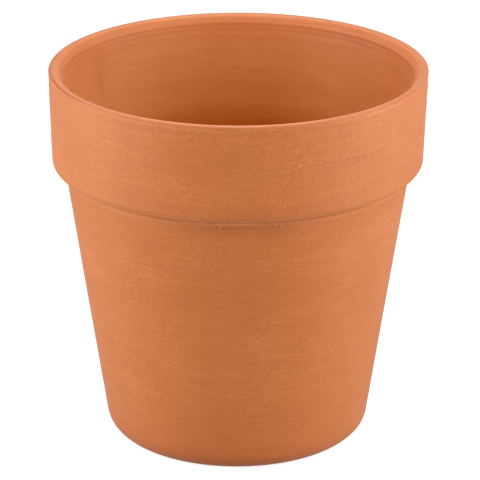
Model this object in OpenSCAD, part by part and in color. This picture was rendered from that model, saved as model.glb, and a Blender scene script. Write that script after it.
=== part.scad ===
// Terracotta flower pot: one piece of fired clay, turned about the Z axis.
// It stands on z = 0, with the middle of its drainage hole at the origin.
// Diameters are taken at the sharp corners, before they are rounded.

/* [Body] */
// Overall height
height = 160.2; // [130:0.1:200]
// Diameter of the wall where it would meet the ground with a sharp corner
base_d = 109.4; // [100:0.1:115]
// Diameter of the wall just under the collar
wall_top_d = 145.3; // [142:0.1:150]
// Radius of the round corner between wall and underside
base_corner_r = 9.2; // [2:0.1:12]

/* [Collar] */
// Diameter of the collar at the lip, the widest part of the pot
top_d = 158; // [157:0.5:170]
// Diameter of the collar at its lower edge
collar_bottom_d = 155.4; // [154:0.1:165]
// Height of the collar, from its lower edge to the lip
collar_h = 41.2; // [20:0.1:60]
// Radius of the collar's lower outer edge
collar_edge_r = 2.8; // [0.5:0.1:3.4]
// Radius of the crease where the collar meets the wall
crease_r = 0.6; // [0.2:0.1:0.8]

/* [Lip and inside] */
// Radius of the lip's outer corner
lip_outer_r = 0.6; // [0.4:0.1:2]
// Radius of the lip's inner corner, where its bevel starts
lip_inner_r = 1.2; // [0.4:0.1:1.4]
// Width of the bevel that leads from the top of the lip into the mouth
bevel_w = 2; // [0.5:0.1:3]
// Height of the bevel
bevel_h = 4; // [1:0.1:8]
// Diameter of the mouth, at the lower end of the bevel
mouth_d = 146.8; // [142:0.1:148]
// Diameter of the inside at the floor
floor_d = 99; // [80:0.5:102]
// Thickness of the floor above the ground
floor_t = 9; // [8:0.5:14]
// Radius of the corner between floor and inner wall
floor_corner_r = 8; // [2:0.5:15]

/* [Drainage hole and foot] */
// Diameter of the drainage hole
hole_d = 20; // [8:0.5:40]
// Radius of the drainage hole's upper and lower edges
hole_edge_r = 1.2; // [0.2:0.1:2]
// Diameter of the shallow recess in the underside
recess_d = 74; // [50:1:78]
// Depth of the recess, which leaves a foot ring to stand on
recess_depth = 1.5; // [0.5:0.1:2]

/* [Hidden] */
clay = [0.78, 0.44, 0.25];
// Straight steps in each rounded corner
arc_steps = 8;
// The recess slopes down to the foot ring at one in two
recess_slope = 2;
recess_edge_r = 1;
// Radius of the blunt corner between the bevel and the inner wall
bevel_edge_r = 3;
collar_z = height - collar_h;

// Every corner of the half outline, as [radius from the axis, height, corner radius],
// from the hole's lower edge round the outside, over the lip and back down the inside
outline = [
    [hole_d / 2, recess_depth, hole_edge_r],
    [recess_d / 2, recess_depth, recess_edge_r],
    [recess_d / 2 + recess_slope * recess_depth, 0, recess_edge_r],
    [base_d / 2, 0, base_corner_r],
    [wall_top_d / 2, collar_z, crease_r],
    [collar_bottom_d / 2, collar_z, collar_edge_r],
    [top_d / 2, height, lip_outer_r],
    [mouth_d / 2 + bevel_w, height, lip_inner_r],
    [mouth_d / 2, height - bevel_h, bevel_edge_r],
    [floor_d / 2, floor_t, floor_corner_r],
    [hole_d / 2, floor_t, hole_edge_r],
];

function point(corner) = [corner[0], corner[1]];
function unit(v) = v / norm(v);
function angle_of(v) = atan2(v[1], v[0]);
// The same turn, kept between -180 and 180 degrees
function short_turn(a) = a > 180 ? a - 360 : a < -180 ? a + 360 : a;

// Points of the arc that rounds corner b, between its neighbours a and c
function rounded(a, b, c, r) =
    let (
        to_a = unit(a - b),
        to_c = unit(c - b),
        half = acos(to_a * to_c) / 2,
        centre = b + unit(to_a + to_c) * r / sin(half),
        start = b + to_a * r / tan(half) - centre,
        end = b + to_c * r / tan(half) - centre,
        turn = short_turn(angle_of(end) - angle_of(start))
    )
    [for (i = [0:arc_steps])
        let (angle = angle_of(start) + turn * i / arc_steps)
        centre + r * [cos(angle), sin(angle)]];

// The outline with each of its corners rounded
function rounded_outline(corners) =
    let (count = len(corners))
    [for (i = [0:count - 1])
        let (
            before = corners[(i + count - 1) % count],
            after = corners[(i + 1) % count]
        )
        each rounded(point(before), point(corners[i]), point(after), corners[i][2])];

// The whole pot: foot ring, wall, collar, lip, inside and drainage hole in one piece
module pot() {
    color(clay)
        rotate_extrude($fn = 180)
            polygon(rounded_outline(outline));
}

pot();
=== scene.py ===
"""The looks of a terracotta flower pot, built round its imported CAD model.

The CAD node is one turned solid. This script replaces it with a finer turned mesh that has the
marks of the tool and the potter's hands on it, gives it a clay material, and lights it.

Angles round the pot are in degrees from +X, counter-clockwise seen from above, and the camera is on
the -Y side, so 270 is the front of the pot. Lengths are in millimetres up to the studio section.
"""
import math

import bpy
import numpy as np
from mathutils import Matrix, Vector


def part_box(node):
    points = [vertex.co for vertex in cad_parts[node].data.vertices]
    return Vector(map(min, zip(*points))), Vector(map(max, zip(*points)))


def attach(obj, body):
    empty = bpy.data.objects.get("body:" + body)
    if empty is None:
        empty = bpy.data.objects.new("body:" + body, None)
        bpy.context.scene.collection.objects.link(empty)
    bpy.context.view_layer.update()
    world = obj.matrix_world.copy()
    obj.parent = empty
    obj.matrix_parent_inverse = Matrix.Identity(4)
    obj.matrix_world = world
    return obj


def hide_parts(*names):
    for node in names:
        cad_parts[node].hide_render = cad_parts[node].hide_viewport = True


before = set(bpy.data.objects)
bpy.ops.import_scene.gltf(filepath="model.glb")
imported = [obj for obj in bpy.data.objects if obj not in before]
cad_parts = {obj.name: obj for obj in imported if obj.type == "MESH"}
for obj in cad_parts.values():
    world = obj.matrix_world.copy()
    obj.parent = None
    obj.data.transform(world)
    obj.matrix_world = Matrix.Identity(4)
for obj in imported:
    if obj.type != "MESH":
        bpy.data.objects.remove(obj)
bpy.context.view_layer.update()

MM = 0.001
SEED = 11
FRONT = 270
BACK = FRONT - 180
# How far round from the front, and from the back, most marks that are centred there spread
FRONT_SPREAD = 32
BACK_SPREAD = 70

# ---------------------------------------------------------------- the pot's size

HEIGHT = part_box("pot")[1].z / MM
LIP_R = 79.0
LIP_FACE = 3.9
LIP_SLOPE = 0.45
BEVEL_H = 2.9
BEVEL_BREAK_IN = 0.9
BEVEL_BREAK_DOWN = 1.7
MOUTH_R = 73.4
COLLAR_H = 41.2
COLLAR_Z = HEIGHT - COLLAR_H
COLLAR_LOW_R = 77.7
WALL_TOP_R = 72.65
BASE_R = 54.7
FLOOR_Z = 9.0
FLOOR_R = 49.5
HOLE_R = 10.0
RECESS_R = 37.0
RECESS_Z = 1.5
FOOT_R = 40.0
BEVEL_R = LIP_R - LIP_FACE

# The outline's corners, in the CAD model's order: radius from the axis, height, corner radius,
# and the face that follows, with its finest and coarsest distance between rings.
OUTLINE = [
    (HOLE_R, RECESS_Z, 1.2, "underside", 0.8, 3.0),
    (RECESS_R, RECESS_Z, 1.0, "recess", 0.6, 1.0),
    (FOOT_R, 0.0, 1.0, "foot", 0.8, 2.0),
    (BASE_R, 0.0, 9.2, "wall", 0.7, 1.7),
    (WALL_TOP_R, COLLAR_Z, 0.6, "ledge", 0.4, 0.7),
    (COLLAR_LOW_R, COLLAR_Z, 2.8, "collar", 0.45, 1.1),
    (LIP_R, HEIGHT, 0.6, "lip", 0.18, 0.3),
    (BEVEL_R, HEIGHT - LIP_SLOPE, 1.1, "bevel", 0.2, 0.35),
    (BEVEL_R - BEVEL_BREAK_IN, HEIGHT - BEVEL_BREAK_DOWN, 1.5, "bevel", 0.2, 0.35),
    (MOUTH_R, HEIGHT - BEVEL_H, 1.6, "inside", 0.35, 2.3),
    (FLOOR_R, FLOOR_Z, 8.0, "floor", 0.9, 3.0),
    (HOLE_R, FLOOR_Z, 1.2, "hole", 0.8, 1.2),
]
INNER_FACES = ["bevel", "inside", "floor", "hole"]
SEGMENTS = 288
ARC_STEP = 0.55
RING_GROWTH = 1.18


# ---------------------------------------------------------------- the turned outline

def graded(length, fine, coarse):
    """Places along a straight face: close together at both ends, further apart between."""
    steps, step, total = [], fine, 0.0
    while total + step < length / 2:
        steps.append(step)
        total += step
        step = min(step * RING_GROWTH, coarse)
    left = np.cumsum([0.0] + steps)
    middle_gap = length - 2 * left[-1]
    inner = max(1, round(middle_gap / step))
    middle = left[-1] + middle_gap * np.arange(1, inner) / inner
    return np.concatenate([left, middle, (length - left)[::-1]])


def rounded_corner(before, corner, after, radius):
    """The points of the arc that rounds a corner, from the side before it to the side after."""
    to_before, to_after = before - corner, after - corner
    to_before /= np.linalg.norm(to_before)
    to_after /= np.linalg.norm(to_after)
    half = math.acos(np.clip(to_before @ to_after, -1, 1)) / 2
    bisector = (to_before + to_after) / np.linalg.norm(to_before + to_after)
    centre = corner + bisector * radius / math.sin(half)
    start = corner + to_before * radius / math.tan(half) - centre
    end = corner + to_after * radius / math.tan(half) - centre
    first = math.atan2(start[1], start[0])
    turn = (math.atan2(end[1], end[0]) - first + math.pi) % (2 * math.pi) - math.pi
    count = max(3, math.ceil(abs(turn) * radius / ARC_STEP))
    angles = first + turn * np.arange(count + 1) / count
    return centre + radius * np.stack([np.cos(angles), np.sin(angles)], 1)


def turned_outline():
    """Every ring of the pot as (radius, height), and the name of the face that each is on."""
    corners = [np.array(corner[:2], float) for corner in OUTLINE]
    count = len(corners)
    arcs = [rounded_corner(corners[i - 1], corners[i], corners[(i + 1) % count], OUTLINE[i][2])
            for i in range(count)]
    points, faces = [], []
    for i in range(count):
        name, fine, coarse = OUTLINE[i][3:]
        points.extend(arcs[i])
        faces.extend([name] * len(arcs[i]))
        start, end = arcs[i][-1], arcs[(i + 1) % count][0]
        length = np.linalg.norm(end - start)
        places = graded(length, fine, coarse)[1:-1] / length
        points.extend(start + (end - start) * t for t in places)
        faces.extend([name] * len(places))
    return np.array(points), np.array(faces)


def outward(points):
    """The outline's unit normals, pointing out of the clay."""
    along = np.roll(points, -1, 0) - np.roll(points, 1, 0)
    normal = np.stack([along[:, 1], -along[:, 0]], 1)
    return normal / np.linalg.norm(normal, axis=1, keepdims=True)


class Surface:
    """Where the mesh's points are: one row for each ring, one column for each angle."""

    def __init__(self):
        self.points, self.faces = turned_outline()
        steps = np.linalg.norm(np.roll(self.points, -1, 0) - self.points, axis=1)
        self.along = np.concatenate([[0], np.cumsum(steps)[:-1]])[:, None]
        self.turn = (2 * math.pi * np.arange(SEGMENTS) / SEGMENTS)[None, :]
        self.degrees = np.degrees(self.turn)
        self.shape = (len(self.points), SEGMENTS)
        self.radius, self.height = self.points[:, :1], self.points[:, 1:]
        self.down = HEIGHT - self.height
        self.under = COLLAR_Z - self.height

    def on(self, *names):
        """Which rings are on the named faces."""
        return np.isin(self.faces, names)[:, None]

    def around(self, middle, spread):
        """How much of a mark shows at each angle, where it is centred on middle: 1 there, then less."""
        away = (self.degrees - middle + 180) % 360 - 180
        return np.exp(-((away / spread) ** 2))


# ---------------------------------------------------------------- marks of the making

def bell(x, centre, width):
    """A smooth hump of height 1, about twice width across."""
    return np.exp(-(((x - centre) / width) ** 2))


def fade(x, start, length):
    """0 up to start, then rising evenly to 1 over a length."""
    return np.clip((x - start) / length, 0, 1)


# Each kind of unevenness: its shortest and longest wave along the outline, the least number of
# waves round the pot and one more than the most (below 0 they slant the other way), its height,
# and how many waves are added up
TURNING_WAVES = ((5, 16), (-2, 3), 0.022, 10)
FLAT_WAVES = ((5, 12), (-1, 2), 0.05, 10)
LIP_WAVES = ((1.5, 4), (-1, 2), 0.03, 4)
BEAD_WAVES = ((9, 10), (3, 30), 1.0, 12)
HOLE_WAVES = ((4, 9), (2, 14), 0.16, 14)


def hand_waves(rng, along, turn, lengths, lobes, height, count):
    """Slow unevenness: waves of several lengths along the outline, drifting round the pot."""
    total = np.zeros(np.broadcast(along, turn).shape)
    for _ in range(count):
        length = rng.uniform(*lengths)
        lobe = rng.integers(*lobes)
        phase = rng.uniform(0, 2 * math.pi)
        total += np.cos(2 * math.pi * along / length + lobe * turn + phase)
    return height * total / math.sqrt(count)


# The rings the tool left inside the lip: how far below it, how wide, how high, how much paler
RINGS_INSIDE = [
    (4.1, 0.5, -0.08, -0.14),
    (5.1, 0.5, 0.03, 0.0),
    (6.0, 0.5, -0.05, -0.10),
    (7.3, 0.7, 0.04, 0.03),
    (10.5, 1.2, -0.04, -0.04),
]
LIP_LINE_R = 78.1
LIP_LINE_WIDTH = 0.42
LIP_LINE_DEPTH = 0.35
BEAD_SPREAD = 17
BEAD_DOWN = 1.7
KNOB_DOWN = 3.0
# Lumps of slip below the crease: where round the pot, how far they spread in degrees, how high
KNOBS = [(265.0, 0.9, 0.35), (282.5, 1.0, 0.4), (288.5, 0.8, 0.2), (251.0, 0.9, 0.2)]
# How far the lip leans towards +X, how far it is out of round, and that wave's phase in radians
LEAN = 0.55
OVAL = 0.12
OVAL_TURN = 0.6


def lip_line(surface):
    """The fine line near the lip's outer corner: strong at the front left, faint at the right."""
    strength = 0.08 + 0.9 * surface.around(202, 21) + 0.1 * surface.around(328, 26)
    return strength * bell(surface.radius, LIP_LINE_R, LIP_LINE_WIDTH) * (surface.down < 1.0)


def relief(surface):
    """How far the surface stands out of the plain outline at each ring and each angle."""
    rng = np.random.default_rng(SEED)
    on, down, under = surface.on, surface.down, surface.under
    along, turn = surface.along, surface.turn
    out = np.zeros(surface.shape)

    # turning waves on the wall, the collar, the inside, the floor and the underside
    out += on("wall", "collar", "inside") * hand_waves(rng, along, turn, *TURNING_WAVES)
    out += on("floor", "underside") * hand_waves(rng, along, turn, *FLAT_WAVES)

    # the fine line on the lip, and the slight hollow just under it
    out -= on("lip") * LIP_LINE_DEPTH * lip_line(surface)
    out -= on("collar") * (0.07 * bell(down, 4.0, 1.0) + 0.16 * np.exp(-down / 1.6))
    out += on("lip") * hand_waves(rng, along, turn, *LIP_WAVES)

    # the rings left by the tool just inside the lip
    for depth, width, step, _ in RINGS_INSIDE:
        out += on("inside", "bevel") * step * bell(down, depth, width)

    # the bead of slip in the crease under the collar: ragged, and fullest at the front
    ragged = 0.5 + 0.5 * hand_waves(rng, 0 * along, turn, *BEAD_WAVES)
    full = 0.1 * np.clip(ragged, 0, 1.5) + 0.3 * surface.around(FRONT, BEAD_SPREAD)
    out += on("wall") * full * bell(under, BEAD_DOWN, 0.6)
    for middle, spread, lump in KNOBS:
        out += on("wall") * lump * surface.around(middle, spread) * bell(under, KNOB_DOWN, 0.8)

    # the drainage hole was punched, so its edges are rough
    rough = hand_waves(rng, along, turn, *HOLE_WAVES)
    out += rough * bell(surface.radius, HOLE_R, 2.5)
    return out


# ---------------------------------------------------------------- stains, painted light and shade, tint, grit and gloss

def lip_tone_and_painted_light(surface):
    """The lip is paler along its inner edge, with a painted highlight there in front; its line is
    darker.
    """
    down, radius = surface.down, surface.radius
    rim = surface.on("lip", "bevel") * bell(down, 0.0, 1.6)
    pale = rim * (0.10 + 0.16 * surface.around(BACK, BACK_SPREAD)) * bell(radius, 75.6, 1.4)
    # a painted highlight along the lip's inner edge in front
    pale = pale + rim * 1.2 * surface.around(FRONT, FRONT_SPREAD) * bell(radius, 75.8, 0.9)

    # the outer corner just below it is paler at both sides of the front
    shoulders = surface.around(245, 26) + surface.around(314, 20)
    pale += surface.on("collar") * 0.38 * shoulders * bell(down, 0.7, 1.2)
    return pale - surface.on("lip") * 1.2 * lip_line(surface)


def crease_tone_and_painted_light(surface):
    """Painted shade and highlights along the collar's lower edge, the crease and its bead of slip."""
    on, under = surface.on, surface.under
    at_front, slipped = surface.around(FRONT, FRONT_SPREAD), surface.around(FRONT, BEAD_SPREAD)
    edge = surface.around(FRONT, 48) - 0.5 * surface.around(FRONT, 14)

    # the collar's lower edge: painted shade above it in front where it turns under, paler along it
    pale = -0.2 * on("collar") * at_front * bell(under, -4.6, 2.6)
    pale = pale + 0.2 * on("collar") * (1 - at_front) * bell(under, -1.0, 1.2)
    pale += 0.8 * on("collar") * edge * bell(under, -0.3, 1.2)
    pale += 0.5 * on("ledge") * at_front * bell(under, -0.2, 1.3)

    # the wall below: a painted highlight on the slip bead in front, and painted shade under it
    pale += 0.7 * on("wall", "ledge") * slipped * bell(under, 1.8, 0.6)
    pale -= 0.2 * on("wall") * slipped * bell(under, 4.6, 2.4)
    # painted shade in the crease beside the front, and a paler band below that
    pale -= 0.4 * on("wall") * (1 - slipped) * bell(under, 1.2, 0.6)
    pale += 0.3 * on("wall") * (1 - slipped) * bell(under, 2.9, 1.0)
    return pale


def foot_painted_shade(surface):
    """Painted shade at the foot, darkest in front along its bottom edge where it meets the floor."""
    at_front = surface.around(FRONT, FRONT_SPREAD)
    dark = (0.42 + 0.12 * at_front) * np.exp(-surface.height / 14.0)
    dark = dark + 0.3 * at_front * bell(surface.height, 0.0, 1.5)
    return -dark * surface.on("wall")


def inside_marks_and_painted_light(surface):
    """The inside: the tool's rings, painted light at the left, painted shade at the right, dark far
    down.
    """
    on, down, around = surface.on, surface.down, surface.around
    pale = np.zeros(surface.shape)
    # the tool's rings, with painted shade in their grooves and painted light on their ridges, most at
    # the right
    for depth, width, _, step in RINGS_INSIDE:
        at_right = 1 + 2.2 * around(25, 45)
        pale += on("inside", "bevel") * step * bell(down, depth, width) * at_right

    # painted light at the left, painted shade at the right, and more painted shade at the left under the
    # lip
    sides = 0.04 + 0.10 * around(150, 36) - 0.28 * around(15, 40)
    inside = on("inside") * sides * fade(down, 1.0, 7.0)
    inside -= on("inside") * 0.14 * around(145, 18) * bell(down, 8.0, 4.0)

    # a faint streak that runs down at the left
    inside -= on("inside") * 0.26 * around(146.5, 3.0) * bell(down, 17.0, 10.0)

    # paler further down, least of all at the back, and then dark there
    inside += on("inside") * 0.20 * (1 - 0.7 * around(BACK, 22)) * fade(down, 15.0, 20.0)
    inside -= on("inside") * 0.4 * around(BACK, BACK_SPREAD) * fade(down, 38.0, 10.0)
    return pale + inside


def stains_and_painted_light(surface):
    """How much paler than plain clay, or darker where negative, each ring is at each angle: stains and
    painted light.
    """
    return (lip_tone_and_painted_light(surface) + crease_tone_and_painted_light(surface)
            + foot_painted_shade(surface) + inside_marks_and_painted_light(surface))


def glossiness(surface):
    """How glossy the clay is, from 1: less on the lip, in the crease, at the foot and deep inside."""
    down, at_back = surface.down, surface.around(BACK, 38)
    outside, inner = surface.on("wall", "ledge", "collar"), surface.on(*INNER_FACES)
    depth = fade(down, 18.0, 37.0)
    smooth_depth = depth * depth * (3 - 2 * depth)
    dull = 0.45 * inner * smooth_depth * at_back
    dull = dull + 0.35 * inner * fade(down, 38.0, 10.0)
    dull += 0.75 * outside * bell(surface.under, -0.2, 1.5)
    dull += 0.4 * outside * surface.around(FRONT, FRONT_SPREAD) * np.exp(-surface.height / 8.0)
    rubbed = 0.15 + 0.4 * bell(surface.radius, 76.0, 1.2)
    dull += surface.on("lip", "bevel") * rubbed * (1 - at_back)
    dull += 0.9 * lip_line(surface).clip(0, 1)
    return 1 - dull


def innerness(surface):
    """How much of the inside's own tint shows: none at the lip, all of it from 10 mm below."""
    return surface.on(*INNER_FACES) * fade(surface.down, 2.0, 8.0)


GRIT_INSIDE = 0.5
GRIT_COLLAR = 1.25


def grittiness(surface):
    """How strong the grain is: the collar's is coarser than the wall's, the inside's is finer."""
    inner, collar = surface.on(*INNER_FACES), surface.on("collar")
    return np.where(inner, GRIT_INSIDE, np.where(collar, GRIT_COLLAR, 1))


# ---------------------------------------------------------------- the mesh

def turned_coords(surface):
    """Where the mesh's points are, in metres, with the pot's relief, ovalness and lean."""
    out, normal = relief(surface), outward(surface.points)
    radius = surface.radius + normal[:, :1] * out
    height = np.maximum(surface.height + normal[:, 1:] * out, 0)
    up = np.clip(height / HEIGHT, 0, 1)
    radius = radius * (1 + OVAL / LIP_R * up**2 * np.cos(2 * surface.turn + OVAL_TURN))
    x = radius * np.cos(surface.turn) + LEAN * up**3
    y = radius * np.sin(surface.turn)
    return np.stack([x, y, height], -1).reshape(-1, 3) * MM


def grid_faces(rings):
    """The quads of a grid that is closed both ways: round the pot and round its outline."""
    ring, segment = np.meshgrid(np.arange(rings), np.arange(SEGMENTS), indexing="ij")
    next_ring, next_segment = (ring + 1) % rings, (segment + 1) % SEGMENTS
    return np.stack([
        ring * SEGMENTS + segment,
        ring * SEGMENTS + next_segment,
        next_ring * SEGMENTS + next_segment,
        next_ring * SEGMENTS + segment,
    ], -1).reshape(-1, 4)


def turned_mesh(name):
    """The pot as one closed grid of rings, with what its material needs to know at each point."""
    surface = Surface()
    coords, quads = turned_coords(surface), grid_faces(len(surface.points))
    mesh = bpy.data.meshes.new(name)
    mesh.vertices.add(len(coords))
    mesh.vertices.foreach_set("co", coords.ravel())
    mesh.loops.add(quads.size)
    mesh.loops.foreach_set("vertex_index", quads.ravel())
    mesh.polygons.add(len(quads))
    mesh.polygons.foreach_set("loop_start", np.arange(0, quads.size, 4))
    mesh.polygons.foreach_set("use_smooth", np.ones(len(quads), bool))
    mesh.update()
    mesh.validate()
    attributes = {
        "along_mm": surface.along,
        "grit": grittiness(surface),
        "inner": innerness(surface),
        "pale": stains_and_painted_light(surface),
        "gloss": glossiness(surface),
    }
    for label, values in attributes.items():
        mesh.attributes.new(label, "FLOAT", "POINT")
        everywhere = values + np.zeros(surface.shape)
        mesh.attributes[label].data.foreach_set("value", everywhere.ravel())
    return mesh


# ---------------------------------------------------------------- shader nodes

def math_node(tree, operation, a, b=None):
    """A Math node on two sockets or numbers, and its result."""
    node = tree.nodes.new("ShaderNodeMath")
    node.operation = operation
    for slot, value in enumerate([a, b]):
        if isinstance(value, bpy.types.NodeSocket):
            tree.links.new(value, node.inputs[slot])
        elif value is not None:
            node.inputs[slot].default_value = value
    return node.outputs[0]


def noise(tree, vector, scale, detail, roughness=0.5):
    """A noise between about -0.5 and 0.5."""
    node = tree.nodes.new("ShaderNodeTexNoise")
    node.inputs["Scale"].default_value = scale
    node.inputs["Detail"].default_value = detail
    node.inputs["Roughness"].default_value = roughness
    tree.links.new(vector, node.inputs["Vector"])
    return math_node(tree, "SUBTRACT", node.outputs["Fac"], 0.5)


def weighted(tree, pairs, start=0.0):
    """The sum of sockets, each times its weight."""
    total = start
    for socket, weight in pairs:
        total = math_node(tree, "ADD", math_node(tree, "MULTIPLY", socket, weight), total)
    return total


def ramp_between(tree, value, start, end):
    """0 where a value is at start, 1 where it is at end, smooth between."""
    node = tree.nodes.new("ShaderNodeMapRange")
    node.interpolation_type = "SMOOTHSTEP"
    node.inputs["From Min"].default_value = start
    node.inputs["From Max"].default_value = end
    tree.links.new(value, node.inputs["Value"])
    return node.outputs[0]


def attribute(tree, name):
    """A number that the mesh gives at each point."""
    node = tree.nodes.new("ShaderNodeAttribute")
    node.attribute_name = name
    return node.outputs["Fac"]


# ---------------------------------------------------------------- the clay

CLAY_DARK = (0.52, 0.105, 0.002)
CLAY = (0.645, 0.164, 0.0135)
CLAY_PALE = (0.80, 0.255, 0.07)
# the palest colour, which the painted highlights on the lip's front edge and on the slip bead reach
CLAY_PAINTED_HIGHLIGHT = (0.95, 0.33, 0.09)
# Where each colour is, from tone 0 to 1, on a ramp that runs from tone -0.5 to 1.5
CLAY_RAMP = [(0.25, CLAY_DARK), (0.5, CLAY), (0.75, CLAY_PALE), (1.0, CLAY_PAINTED_HIGHLIGHT)]
INSIDE_TINT = (0.98, 1.08, 0.88)
GLOSS = 0.96
ROUGHNESS = 0.58
DUST = 0.11
DUST_ROUGHNESS = 0.5

# The noises that make lines round the pot: how fast each varies round the pot and across it, for
# each millimetre, its detail and its roughness
LINES = {
    "fine_lines": (0.11, 1.7, 3.0, 0.6),
    "lines": (0.04, 0.5, 3.0, 0.6),
    "bands": (0.008, 0.06, 2.0, 0.5),
    "grain": (0.62, 0.92, 4.0, 0.72),
}
# The noises that are the same in all directions: how fast each varies, and its detail
BLOTCHES = {"mottle": (0.05, 3.0), "patches": (0.04, 1.0), "breaks": (0.3, 2.0)}
GRAIN_PATCHINESS = 2.5

# How much each noise changes the clay's tone, its roughness, and its height in millimetres
TONE_WEIGHTS = {"fine_lines": 0.42, "lines": 0.27, "bands": 0.30, "mottle": 0.30, "grain": 0.72}
ROUGHNESS_WEIGHTS = {"grain": 0.12, "bands": 0.08}
HEIGHT_WEIGHTS = {"fine_lines": 0.05, "lines": 0.05, "grain": 0.11}

# Pale grog and dark pits: a dot in some cells of a scattered grid. Cells for each millimetre, the
# dots' radius in cells where they end and where they are full, how much paler and higher they are,
# and the random number of a cell above which it has grog, or below which it has a pit
DOT_CELLS = 0.2
DOT_EDGE = (0.13, 0.05)
GROG = (0.2, 0.05)
GROG_ABOVE = 0.6
PIT = (-0.2, -0.1)
PIT_BELOW = 0.3

# Small marks: on which side, the angle round the pot, the height, the radius, how much paler, and
# how much higher. A mark ends, and is full, at these parts of its radius.
SPOT_EDGE = (1.4, 0.4)
SPOTS = [
    ("outside", 287.0, 149.0, 0.45, 0.5, 0.1),
    ("outside", 287.5, 148.0, 0.45, 0.4, 0.1),
    ("outside", 288.5, 147.0, 0.5, -0.3, -0.1),
    ("outside", 288.5, 142.5, 0.5, 0.45, 0.1),
    ("outside", 303.0, 143.0, 0.45, 0.4, 0.1),
    ("outside", 284.5, 136.5, 0.45, 0.35, 0.1),
    ("outside", 299.0, 154.5, 0.45, 0.35, 0.1),
    ("outside", 241.0, 149.0, 0.5, 0.35, 0.1),
    ("outside", 255.0, 121.5, 0.7, -0.45, -0.1),
    ("outside", 264.5, 115.5, 0.7, 0.35, 0.2),
    ("outside", 265.5, 115.0, 0.7, -0.4, -0.2),
    ("outside", 263.5, 116.0, 0.5, -0.3, -0.2),
    ("outside", 282.0, 116.5, 0.8, 0.4, 0.2),
    ("outside", 283.0, 115.5, 0.7, -0.45, -0.2),
    ("outside", 284.0, 116.0, 0.6, 0.3, 0.1),
    ("outside", 286.0, 115.5, 0.6, -0.25, -0.1),
    ("inside", 130.5, 143.5, 0.6, -0.5, -0.05),
    ("inside", 118.5, 137.5, 0.8, -0.2, 0.0),
]
# Scratches on the collar: the height, and from where to where along X
SCRATCHES = [(142.0, 27, 68), (140.5, 44, 60), (139.5, 36, 48), (141.0, 52, 62), (143.5, 30, 38)]
# How much paler and higher a scratch is, how far from its middle it ends and is full, how far in
# from its two ends it is full, and where the noise that breaks it starts and stops showing it
SCRATCH = (-0.3, -0.06)
SCRATCH_EDGE = (0.36, 0.06)
SCRATCH_FADES = (6.0, -8.0)
SCRATCH_BREAKS = (-0.12, 0.05)


def surface_radius(side, height):
    """The radius of the pot's outside or inside at a height."""
    if side == "inside":
        return np.interp(height, [FLOOR_Z, HEIGHT - BEVEL_H], [FLOOR_R, MOUTH_R])
    if height < COLLAR_Z:
        return np.interp(height, [0, COLLAR_Z], [BASE_R, WALL_TOP_R])
    return np.interp(height, [COLLAR_Z, HEIGHT], [COLLAR_LOW_R, LIP_R])


def spot_mask(tree, place, side, degrees, height, size):
    """1 in the middle of a small round mark, 0 outside it."""
    radius, turn = surface_radius(side, height), math.radians(degrees)
    node = tree.nodes.new("ShaderNodeVectorMath")
    node.operation = "DISTANCE"
    node.inputs[1].default_value = (radius * math.cos(turn), radius * math.sin(turn), height)
    tree.links.new(place, node.inputs[0])
    return ramp_between(tree, node.outputs["Value"], *(size * edge for edge in SPOT_EDGE))


def scratch_mask(tree, axes, height, start, end):
    """1 along a fine level scratch on the front of the collar, 0 off it."""
    off = math_node(tree, "ABSOLUTE", math_node(tree, "SUBTRACT", axes["Z"], height))
    line = ramp_between(tree, off, *SCRATCH_EDGE)
    for edge, fade_length in zip([start, end], SCRATCH_FADES):
        inside = ramp_between(tree, axes["X"], edge, edge + fade_length)
        line = math_node(tree, "MULTIPLY", line, inside)
    front = math_node(tree, "LESS_THAN", axes["Y"], 0.0)
    return math_node(tree, "MULTIPLY", line, front)


def clay_place(tree):
    """Where a point of the pot is in millimetres, as a vector and as its three coordinates."""
    coords = tree.nodes.new("ShaderNodeTexCoord")
    place = tree.nodes.new("ShaderNodeVectorMath")
    place.operation = "SCALE"
    place.inputs["Scale"].default_value = 1 / MM
    tree.links.new(coords.outputs["Object"], place.inputs[0])
    split = tree.nodes.new("ShaderNodeSeparateXYZ")
    tree.links.new(place.outputs["Vector"], split.inputs[0])
    return place.outputs["Vector"], split.outputs


def clay_noises(tree, place, axes, grit):
    """All the clay's noises by name, with the grain stronger in some patches than in others."""
    along = attribute(tree, "along_mm")
    noises = {}
    for name, (slow, fast, detail, roughness) in LINES.items():
        joined = tree.nodes.new("ShaderNodeCombineXYZ")
        tree.links.new(math_node(tree, "MULTIPLY", axes["X"], slow), joined.inputs["X"])
        tree.links.new(math_node(tree, "MULTIPLY", axes["Y"], slow), joined.inputs["Y"])
        tree.links.new(math_node(tree, "MULTIPLY", along, fast), joined.inputs["Z"])
        noises[name] = noise(tree, joined.outputs[0], 1.0, detail, roughness)
    for name, (scale, detail) in BLOTCHES.items():
        noises[name] = noise(tree, place, scale, detail)
    stronger = weighted(tree, [(noises["patches"], GRAIN_PATCHINESS)], 1.0)
    grain = math_node(tree, "MULTIPLY", noises["grain"], stronger)
    noises["grain"] = math_node(tree, "MULTIPLY", grain, grit)
    return noises


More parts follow.
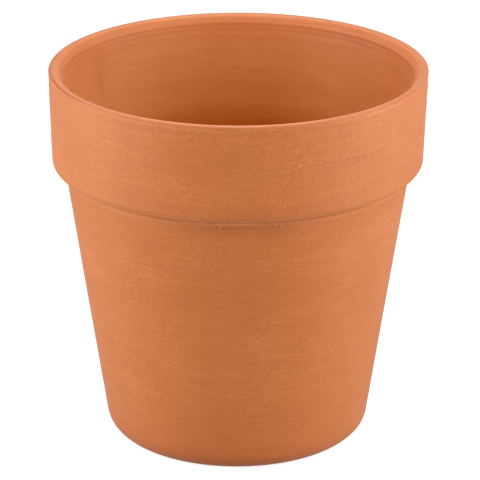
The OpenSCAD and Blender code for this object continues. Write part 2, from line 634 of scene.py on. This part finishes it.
def clay_marks(tree, place, axes, grit, breaks):
    """Every small mark in the clay as (where it is, how much paler, how much higher)."""
    cells = tree.nodes.new("ShaderNodeTexVoronoi")
    cells.inputs["Scale"].default_value = DOT_CELLS
    tree.links.new(place, cells.inputs["Vector"])
    dot = ramp_between(tree, cells.outputs["Distance"], *DOT_EDGE)
    dot = math_node(tree, "MULTIPLY", dot, grit)
    kind = tree.nodes.new("ShaderNodeSeparateColor")
    tree.links.new(cells.outputs["Color"], kind.inputs[0])
    grog = math_node(tree, "MULTIPLY", dot, math_node(tree, "GREATER_THAN", kind.outputs[0], GROG_ABOVE))
    pit = math_node(tree, "MULTIPLY", dot, math_node(tree, "LESS_THAN", kind.outputs[0], PIT_BELOW))

    marks = [(grog, *GROG), (pit, *PIT)]
    for side, degrees, height, size, paler, higher in SPOTS:
        marks.append((spot_mask(tree, place, side, degrees, height, size), paler, higher))
    unbroken = ramp_between(tree, breaks, *SCRATCH_BREAKS)
    for scratch in SCRATCHES:
        mask = math_node(tree, "MULTIPLY", scratch_mask(tree, axes, *scratch), unbroken)
        marks.append((mask, *SCRATCH))
    return marks


def clay_colour(tree, tone):
    """The colour of the clay at a tone, tinted on the inside of the pot."""
    ramp = tree.nodes.new("ShaderNodeValToRGB")
    stops = ramp.color_ramp.elements
    while len(stops) < len(CLAY_RAMP):
        stops.new(1.0)
    for stop, (position, colour) in zip(stops, CLAY_RAMP):
        stop.position = position
        stop.color = (*colour, 1)
    tree.links.new(weighted(tree, [(tone, 0.5)], 0.5), ramp.inputs["Fac"])
    tint = tree.nodes.new("ShaderNodeMix")
    tint.data_type = "RGBA"
    tint.blend_type = "MULTIPLY"
    tree.links.new(attribute(tree, "inner"), tint.inputs["Factor"])
    tree.links.new(ramp.outputs["Color"], tint.inputs["A"])
    tint.inputs["B"].default_value = (*INSIDE_TINT, 1)
    return tint.outputs["Result"]


def clay_material():
    """Unglazed terracotta: grain, broken turning lines, slow bands, mottling, pits and pale grog."""
    material = bpy.data.materials.new("terracotta_clay")
    material.use_nodes = True
    tree = material.node_tree
    tree.nodes.clear()
    shader = tree.nodes.new("ShaderNodeBsdfPrincipled")
    output = tree.nodes.new("ShaderNodeOutputMaterial")
    tree.links.new(shader.outputs["BSDF"], output.inputs["Surface"])

    place, axes = clay_place(tree)
    grit = attribute(tree, "grit")
    noises = clay_noises(tree, place, axes, grit)
    marks = clay_marks(tree, place, axes, grit, noises["breaks"])

    tone = [(noises[name], weight) for name, weight in TONE_WEIGHTS.items()]
    tone += [(attribute(tree, "pale"), 1.0)]
    tone += [(mask, paler) for mask, paler, _ in marks]
    tree.links.new(clay_colour(tree, weighted(tree, tone)), shader.inputs["Base Color"])

    rough = [(noises[name], weight) for name, weight in ROUGHNESS_WEIGHTS.items()]
    tree.links.new(weighted(tree, rough, ROUGHNESS), shader.inputs["Roughness"])
    gloss = math_node(tree, "MULTIPLY", attribute(tree, "gloss"), GLOSS)
    tree.links.new(gloss, shader.inputs["Specular IOR Level"])
    shader.inputs["Sheen Weight"].default_value = DUST
    shader.inputs["Sheen Roughness"].default_value = DUST_ROUGHNESS

    height = [(noises[name], weight) for name, weight in HEIGHT_WEIGHTS.items()]
    height += [(mask, higher) for mask, _, higher in marks]
    bump = tree.nodes.new("ShaderNodeBump")
    bump.inputs["Strength"].default_value = 1.0
    bump.inputs["Distance"].default_value = MM
    tree.links.new(weighted(tree, height), bump.inputs["Height"])
    tree.links.new(bump.outputs["Normal"], shader.inputs["Normal"])
    return material


def make_pot():
    """The visual pot, which stands in for the CAD node and rides with it."""
    pot = bpy.data.objects.new("clay_pot", turned_mesh("clay_pot"))
    bpy.context.scene.collection.objects.link(pot)
    pot.data.materials.append(clay_material())
    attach(pot, "root")
    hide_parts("pot")


# ---------------------------------------------------------------- the studio, in metres

WHITE = (1, 1, 1, 1)
FLOOR_HALF = 6.0
FLOOR_COLOUR = (0.3, 0.3, 0.3, 1)
FLOOR_GLOW = 0.9
FLOOR_GLOW_UNDER = 0.1
# How far from the middle of the pot the shade under it starts to end, and where it has ended
FLOOR_SHADE = (42 * MM, 51.5 * MM)


def make_floor():
    """A plain pale floor, in shade under the pot. The world's lower half lights the pot for it."""
    mesh = bpy.data.meshes.new("floor")
    corners = [(x * FLOOR_HALF, y * FLOOR_HALF, 0) for x, y in [(-1, -1), (1, -1), (1, 1), (-1, 1)]]
    mesh.from_pydata(corners, [], [(0, 1, 2, 3)])
    floor = bpy.data.objects.new("floor", mesh)
    bpy.context.scene.collection.objects.link(floor)
    material = bpy.data.materials.new("pale_floor")
    material.use_nodes = True
    tree = material.node_tree
    shader = tree.nodes["Principled BSDF"]
    shader.inputs["Base Color"].default_value = FLOOR_COLOUR
    shader.inputs["Roughness"].default_value = 1.0
    shader.inputs["Specular IOR Level"].default_value = 0.0
    shader.inputs["Emission Color"].default_value = WHITE
    coords = tree.nodes.new("ShaderNodeTexCoord")
    away = tree.nodes.new("ShaderNodeVectorMath")
    away.operation = "LENGTH"
    tree.links.new(coords.outputs["Object"], away.inputs[0])
    lit = ramp_between(tree, away.outputs["Value"], *FLOOR_SHADE)
    glow = weighted(tree, [(lit, FLOOR_GLOW - FLOOR_GLOW_UNDER)], FLOOR_GLOW_UNDER)
    tree.links.new(glow, shader.inputs["Emission Strength"])
    mesh.materials.append(material)
    floor.visible_diffuse = False
    floor.visible_glossy = False


# Each softbox: which side it is on, its angle round from the camera and above the floor in degrees,
# how far it is from the pot, its width and height in metres, and its radiance
SOFTBOXES = [
    ("softbox_left", -75, 14, 0.7, 0.7, 0.75, 2.2),
    ("softbox_right", 75, 14, 0.7, 0.7, 0.75, 2.25),
    ("softbox_back_left", -105, 14, 0.7, 0.4, 0.75, 0.55),
    ("softbox_back_right", 105, 14, 0.7, 0.4, 0.75, 0.55),
    ("softbox_front_left", -40, 20, 1.0, 0.6, 0.6, 0.3),
    ("softbox_front_right", 40, 20, 1.0, 0.6, 0.6, 0.3),
    ("softbox_back", 180, 52, 0.9, 1.2, 0.9, 0.65),
]


def softbox(name, place, aim, width, height, radiance):
    """A large soft light that gives the same brightness all over its face."""
    data = bpy.data.lights.new(name, "AREA")
    data.shape = "RECTANGLE"
    data.size = width
    data.size_y = height
    data.energy = radiance * math.pi * width * height
    light = bpy.data.objects.new(name, data)
    bpy.context.scene.collection.objects.link(light)
    light.location = place
    light.rotation_euler = (aim - place).to_track_quat("-Z", "Y").to_euler()
    light.visible_camera = False


def make_lights():
    """Tall softboxes at the left and right, weaker ones in front, and one above and behind."""
    middle = Vector((0, 0, HEIGHT * MM / 2))
    for name, round_from_camera, up, away, width, height, radiance in SOFTBOXES:
        turn, rise = math.radians(round_from_camera), math.radians(up)
        level = away * math.cos(rise)
        offset = Vector((level * math.sin(turn), -level * math.cos(turn), away * math.sin(rise)))
        softbox(name, middle + offset, middle, width, height, radiance)


# How strongly the world lights from above and from below, and how far either side of level
# the one turns into the other
AMBIENT_UP = 0.66
AMBIENT_DOWN = 0.40
HORIZON = 0.02


def background(tree):
    """A white Background node of strength 1."""
    node = tree.nodes.new("ShaderNodeBackground")
    node.inputs["Color"].default_value = WHITE
    node.inputs["Strength"].default_value = 1.0
    return node


def make_world():
    """White surroundings, seen as white but glowing only softly, and less from below."""
    world = bpy.data.worlds.new("studio")
    bpy.context.scene.world = world
    world.use_nodes = True
    world.cycles.sampling_method = "NONE"
    tree = world.node_tree
    tree.nodes.clear()
    coords = tree.nodes.new("ShaderNodeTexCoord")
    split = tree.nodes.new("ShaderNodeSeparateXYZ")
    tree.links.new(coords.outputs["Generated"], split.inputs[0])
    level = tree.nodes.new("ShaderNodeMapRange")
    level.inputs["From Min"].default_value = -HORIZON
    level.inputs["From Max"].default_value = HORIZON
    level.inputs["To Min"].default_value = AMBIENT_DOWN
    level.inputs["To Max"].default_value = AMBIENT_UP
    tree.links.new(split.outputs["Z"], level.inputs["Value"])
    glow, seen = background(tree), background(tree)
    tree.links.new(level.outputs[0], glow.inputs["Strength"])
    ray = tree.nodes.new("ShaderNodeLightPath")
    mix = tree.nodes.new("ShaderNodeMixShader")
    tree.links.new(ray.outputs["Is Camera Ray"], mix.inputs[0])
    tree.links.new(glow.outputs[0], mix.inputs[1])
    tree.links.new(seen.outputs[0], mix.inputs[2])
    output = tree.nodes.new("ShaderNodeOutputWorld")
    tree.links.new(mix.outputs[0], output.inputs["Surface"])


CAMERA_AWAY = 17.0 * LIP_R * MM
CAMERA_AIM_Z = 83.05 * MM
CAMERA_ELEVATION = math.radians(20.8)
# The sensor's width and the lens are in millimetres, and the shift is a part of the frame
CAMERA_SENSOR = 36.0
CAMERA_LENS = 237.3
CAMERA_SHIFT = 0.006
CAMERA_NEAR = 0.01
CAMERA_FAR = 100.0


def make_camera():
    """A long lens, a little above the pot and square to it."""
    data = bpy.data.cameras.new("camera")
    data.sensor_width = CAMERA_SENSOR
    data.lens = CAMERA_LENS
    data.shift_x = CAMERA_SHIFT
    data.clip_start = CAMERA_NEAR
    data.clip_end = CAMERA_FAR
    camera = bpy.data.objects.new("camera", data)
    bpy.context.scene.collection.objects.link(camera)
    camera.location = (0, -CAMERA_AWAY * math.cos(CAMERA_ELEVATION),
                       CAMERA_AIM_Z + CAMERA_AWAY * math.sin(CAMERA_ELEVATION))
    camera.rotation_euler = (math.pi / 2 - CAMERA_ELEVATION, 0, 0)
    bpy.context.scene.camera = camera


make_pot()
make_floor()
make_lights()
make_world()
make_camera()
bpy.context.scene.view_settings.view_transform = "Standard"
